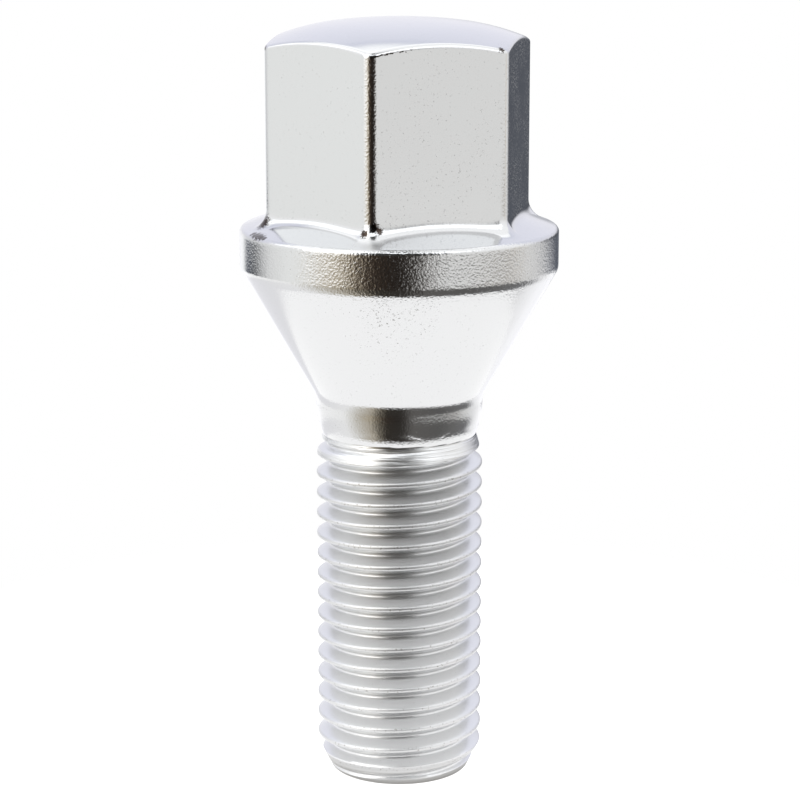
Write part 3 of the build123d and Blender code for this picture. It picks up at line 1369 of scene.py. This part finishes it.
@dataclass
class Studio:
    """White table, bright surroundings and camera. Sizes in mm and degrees, headings from the camera.

    Attributes:
        aim_height: Height of the point that the camera looks at.
        distance: Distance from that point to the camera.
        azimuth: Camera's heading, from -Y towards +X.
        elevation: Camera's height above the horizon.
        lens: Focal length.
        sensor: Width of the camera's sensor.
        shift: Sideways shift of the image, as a share of its width.
        near_clip: Distance from the camera where its view starts.
        table_radius: Radius of the white table top.
        table_clear: Radius where the table starts to fade into its surroundings.
        table_back: Distance of the table's centre behind the bolt.
        table_sides: Corners of the table's outline.
        table_colour: Colour of the table under its glow.
        table_roughness: Roughness of the table.
        table_glow: Light of the table, as a share of the studio's white.
        brightness: Light of the studio's white.
        shade_inner: Radius of the darkest shade under the tip.
        shade_outer: Radius where that shade ends in the plating's mirror image.
        shade_seen: Radius where it ends for the camera.
        contact_shade: Table's light in the darkest shade.
        lamp_size: Size of the soft lamp over the table.
        lamp_height: Height of that lamp.
        lamp_power: Power of that lamp, in watts.
        sky_ahead: Light from above straight behind the camera.
        key_light: Soft light at the camera's left.
        strip_light: Strip lights that the flange mirrors by way of the flats.
        edge_row: Elevations over which the table's edge gives way to the neck's level.
        neck_row: Elevations over which that gives way to the rim's level.
        rim_row: Elevations over which that gives way to the hexagon's level.
        sky_row: Elevations over which the sky starts.
        sky_turn: Share of front over which the sky behind gives way to the front.
        lean: Turn of the dark stripe that the front corner mirrors, towards its top.
        lean_row: Elevations over which that turn comes in.
        lean_headings: Headings that it holds for.
        ahead_headings: Headings of the dark sky behind the camera.
        key_headings: Headings of the key light.
        key_rises: Elevations over which the key light ends.
        left_strip: Headings of the left strip light.
        right_strip: Headings of the right strip light.
        middle_strip: Headings of the strip light between them.
        strip_rises: Elevations of the left and right strip lights.
        middle_rises: Elevations of the middle one.
    """

    aim_height: float = 27.24
    distance: float = 185.0
    azimuth: float = 11.7
    elevation: float = 12.52
    lens: float = 116.44
    sensor: float = 36.0
    shift: float = 0.0009
    near_clip: float = 10.0
    table_radius: float = 46.0
    table_clear: float = 41.0
    table_back: float = 16.0
    table_sides: int = 128
    table_colour: Colour = (0.1, 0.1, 0.1, 1.0)
    table_roughness: float = 0.9
    table_glow: float = 0.9
    brightness: float = 1.45
    shade_inner: float = 4.75
    shade_outer: float = 6.8
    shade_seen: float = 5.0
    contact_shade: Colour = (0.30, 0.29, 0.275, 1.0)
    lamp_size: float = 400.0
    lamp_height: float = 300.0
    lamp_power: float = 0.1
    sky_ahead: Colour = (0.04, 0.04, 0.038, 1.0)
    key_light: Colour = (2.0, 1.96, 1.88, 1.0)
    strip_light: Colour = (1.40, 1.43, 1.46, 1.0)
    edge_row: Range = (-21.0, -17.0)
    neck_row: Range = (-14.0, -12.0)
    rim_row: Range = (-8.9, -8.4)
    sky_row: Range = (-1.0, 7.0)
    sky_turn: Range = (-0.45, -0.2)
    lean: float = 9.0
    lean_row: Range = (-6.8, -4.8)
    lean_headings: Band = Band(-8.0, 6.0, 29.0, 35.0)
    ahead_headings: Band = Band(-34.0, -22.0, 24.0, 44.0)
    key_headings: Band = Band(-76.0, -64.0, -42.0, -32.0)
    key_rises: Range = (72.0, 52.0)
    left_strip: Band = Band(-110.0, -102.0, -90.0, -82.0)
    right_strip: Band = Band(22.0, 29.0, 54.0, 62.0)
    middle_strip: Band = Band(-90.0, -82.0, 22.0, 29.0)
    strip_rises: Band = Band(20.0, 25.0, 49.0, 54.0)
    middle_rises: Band = Band(36.0, 40.0, 55.0, 60.0)

    def build(self) -> None:
        """Sets up the table, the surroundings, the light and the camera."""
        self._table()
        self._surroundings()
        self._table_light()
        self._camera()
        bpy.context.scene.view_settings.view_transform = "Standard"

    def _table(self) -> None:
        """Lays the round white table top under the bolt, lit from below as a light table is."""
        bpy.ops.object.select_all(action="DESELECT")
        turn = math.radians(self.azimuth)
        centre = Vector((-math.sin(turn), math.cos(turn), 0.0)) * self.table_back * MM
        bpy.ops.mesh.primitive_circle_add(
            vertices=self.table_sides, radius=self.table_radius * MM, fill_type="NGON", location=centre
        )
        table = bpy.context.object
        table.name = "table_top"
        table.data.materials.append(self._table_paint(centre))

    def _table_paint(self, centre: Vector) -> bpy.types.Material:
        """Mixes the glowing white of the table, with a shade under the bolt's tip.

        Args:
            centre: Centre of the table, in metres from the bolt's axis.

        Returns:
            The table's material.
        """
        paint = bpy.data.materials.new("white_table")
        paint.use_nodes = True
        build = NodeBuilder(paint.node_tree)
        shader = paint.node_tree.nodes["Principled BSDF"].inputs
        shader["Base Color"].default_value = self.table_colour
        shader["Roughness"].default_value = self.table_roughness
        shader["Specular IOR Level"].default_value = 0.0
        shader["Emission Strength"].default_value = self.table_glow * self.brightness
        place = build.add("ShaderNodeTexCoord").outputs["Object"]
        gap = build.distance(place, -centre)
        mirrored = build.step(gap, self.shade_inner * MM, self.shade_outer * MM)
        seen = build.step(gap, self.shade_inner * MM, self.shade_seen * MM)
        camera_ray = build.add("ShaderNodeLightPath").outputs["Is Camera Ray"]
        lit = build.math("MAXIMUM", mirrored, build.times(seen, camera_ray))
        build.fill(shader["Emission Color"], build.mix(lit, self.contact_shade, WHITE))
        reach = build.distance(place, Vector())
        build.fill(shader["Alpha"], build.step(reach, self.table_radius * MM, self.table_clear * MM))
        return paint

    def _table_light(self) -> None:
        """Hangs a broad soft light over the table that the plating doesn't mirror."""
        lamp = bpy.data.lights.new("table_light", "AREA")
        lamp.shape = "DISK"
        lamp.size = self.lamp_size * MM
        lamp.energy = self.lamp_power
        light = bpy.data.objects.new("table_light", lamp)
        light.location = (0.0, 0.0, self.lamp_height * MM)
        light.visible_glossy = False
        bpy.context.scene.collection.objects.link(light)

    def _camera(self) -> None:
        """Places the camera at the photograph's viewing angle."""
        lens = bpy.data.cameras.new("camera")
        lens.lens = self.lens
        lens.sensor_width = self.sensor
        lens.shift_x = self.shift
        lens.clip_start = self.near_clip * MM
        camera = bpy.data.objects.new("camera", lens)
        turn, rise = math.radians(self.azimuth), math.radians(self.elevation)
        away = Vector((math.sin(turn) * math.cos(rise), -math.cos(turn) * math.cos(rise), math.sin(rise)))
        camera.location = Vector((0.0, 0.0, self.aim_height * MM)) + away * self.distance * MM
        camera.rotation_euler = away.to_track_quat("Z", "Y").to_euler()
        bpy.context.scene.collection.objects.link(camera)
        bpy.context.scene.camera = camera

    @staticmethod
    def _ramp(build: NodeBuilder, angle: object, stops: tuple[Stop, ...]) -> bpy.types.NodeSocket:
        """Turns stops into a colour ramp over a full turn.

        Args:
            build: Builder of the world's nodes.
            angle: Heading or elevation, in degrees.
            stops: Stops in order of angle, from -180 to 180.

        Returns:
            The colour's socket.
        """
        share = build.math("MULTIPLY_ADD", angle, 1.0 / 360.0, 0.5)
        ramp = build.add("ShaderNodeValToRGB", Fac=share)
        marks = ramp.color_ramp.elements
        marks[0].position, marks[-1].position = 0.0, 1.0
        for stop in stops[1:-1]:
            marks.new(0.5 + stop.angle / 360.0)
        for mark, stop in zip(marks, stops):
            mark.color = (*stop.shade, 1.0)
        return ramp.outputs["Color"]

    def _low_light(self, build: NodeBuilder, heading: object, rise: object) -> bpy.types.NodeSocket:
        """Stacks the rows of light below the horizon.

        Args:
            build: Builder of the world's nodes.
            heading: Heading from the camera, in degrees.
            rise: Elevation, in degrees.

        Returns:
            The colour's socket.
        """
        lean = build.times(build.step(rise, *self.lean_row), self.lean)
        lean = build.times(lean, build.within(heading, self.lean_headings))
        hexagon = self._ramp(build, build.math("SUBTRACT", heading, lean), HEXAGON_LEVEL)
        rows = (
            (self.edge_row, self._ramp(build, heading, NECK_LEVEL)),
            (self.neck_row, self._ramp(build, heading, RIM_LEVEL)),
            (self.rim_row, hexagon),
        )
        low = self._ramp(build, heading, TABLE_EDGE)
        for limits, row in rows:
            low = build.mix(build.step(rise, *limits), low, row)
        return low

    def _sky(self, build: NodeBuilder, heading: object, rise: object, front: object) -> bpy.types.NodeSocket:
        """Hangs the lights in the sky.

        Args:
            build: Builder of the world's nodes.
            heading: Heading from the camera, in degrees.
            rise: Elevation, in degrees.
            front: Share of the direction that points to the camera's side.

        Returns:
            The colour's socket.
        """
        behind = self._ramp(build, rise, SKY_BEHIND)
        sky = build.mix(build.step(front, *self.sky_turn), behind, self._ramp(build, rise, SKY_FRONT))
        sky = build.mix(build.within(heading, self.ahead_headings), sky, self.sky_ahead)
        sides = (build.within(heading, strip) for strip in (self.left_strip, self.right_strip))
        strips = build.times(build.math("ADD", *sides), build.within(rise, self.strip_rises))
        middle = build.times(build.within(heading, self.middle_strip), build.within(rise, self.middle_rises))
        sky = build.mix(build.math("MAXIMUM", strips, middle), sky, self.strip_light)
        key = build.times(build.within(heading, self.key_headings), build.step(rise, *self.key_rises))
        return build.mix(key, sky, self.key_light)

    def _surroundings(self) -> None:
        """Surrounds the bolt with the studio's light and shade, white to the camera itself."""
        world = bpy.data.worlds.new("studio")
        bpy.context.scene.world = world
        world.use_nodes = True
        world.node_tree.nodes.clear()
        build = NodeBuilder(world.node_tree)
        ray = build.add("ShaderNodeTexCoord").outputs["Generated"]
        settings = {"rotation_type": "Z_AXIS"}
        turned = build.add("ShaderNodeVectorRotate", settings, Vector=ray, Angle=-math.radians(self.azimuth))
        parts = build.add("ShaderNodeSeparateXYZ", Vector=turned.outputs["Vector"]).outputs
        front = build.times(parts["Y"], -1.0)
        rise = build.math("DEGREES", build.math("ARCSINE", parts["Z"]))
        heading = build.math("DEGREES", build.math("ARCTAN2", parts["X"], front))
        low = self._low_light(build, heading, rise)
        sky = self._sky(build, heading, rise, front)
        around = build.mix(build.step(rise, *self.sky_row), low, sky)
        glow = build.add("ShaderNodeBackground", Color=around, Strength=self.brightness).outputs[0]
        white = build.add("ShaderNodeBackground", Color=WHITE, Strength=1.0).outputs[0]
        camera_ray = build.add("ShaderNodeLightPath").outputs["Is Camera Ray"]
        both = build.add("ShaderNodeMixShader", i0=camera_ray, i1=glow, i2=white)
        build.add("ShaderNodeOutputWorld", Surface=both.outputs[0])


def main() -> None:
    """Builds the bolt and its studio."""
    logging.basicConfig(level=logging.INFO, format="%(name)s: %(message)s")
    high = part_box(NODE)[1] / MM
    head = BoltHead(top=high.z, flange_radius=high.x)
    shank = ThreadedShank(head=head)
    piece = WheelBolt(head=head, shank=shank, finish=PlatedSteel(), surface=SurfaceMap()).build()
    piece.data.calc_loop_triangles()
    LOG.info("%s: %d triangles", piece.name, len(piece.data.loop_triangles))
    Studio().build()


if __name__ == "__main__":
    main()
